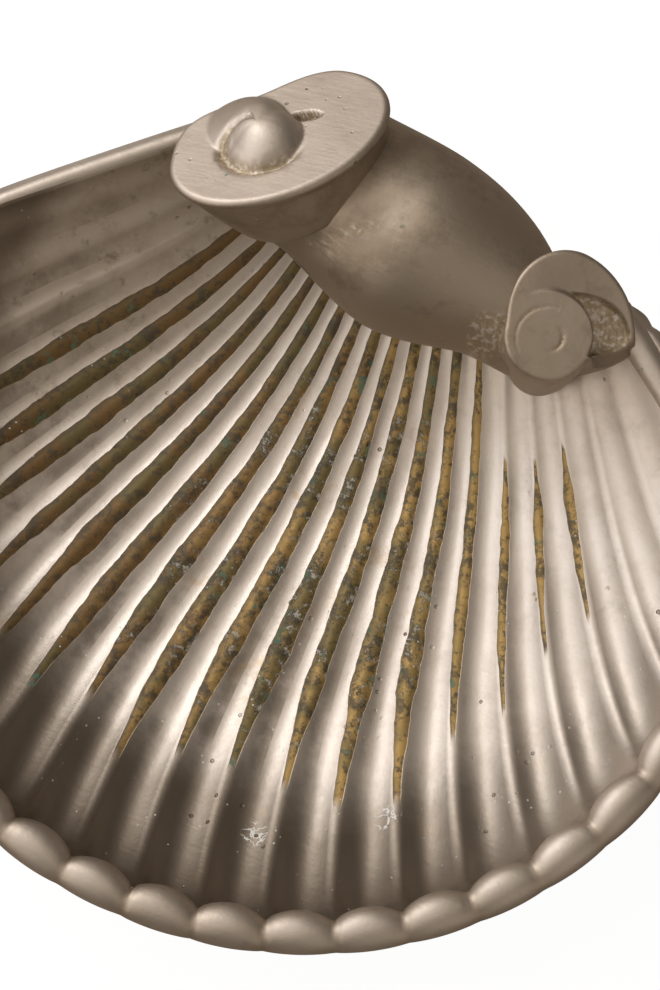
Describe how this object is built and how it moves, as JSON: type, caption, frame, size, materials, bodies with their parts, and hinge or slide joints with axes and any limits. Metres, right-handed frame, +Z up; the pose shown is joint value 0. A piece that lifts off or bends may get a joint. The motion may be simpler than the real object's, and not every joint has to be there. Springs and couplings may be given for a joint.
{
  "type": "shell trinket dish",
  "caption": "Heavy cast metal dish in the form of a scallop shell, with radiating flutes, a beaded rim and a scroll with volutes at the hinge.",
  "frame": {"origin": "centre of the bounding box, at the level of the flat seat that the dish rests on", "axes": "+Z up, -Y towards the round front rim, +Y towards the scroll at the hinge, +X to the right seen from the front"},
  "size_m": [0.1444, 0.1322, 0.0475],
  "materials": {
    "nickel_plate": "worn nickel or silver plate over brass, with the brass bare on the ridge crests, light tarnish and green spots"
  },
  "bodies": {
    "root": {"shell_dish": "nickel_plate"}
  },
  "joints": []
}
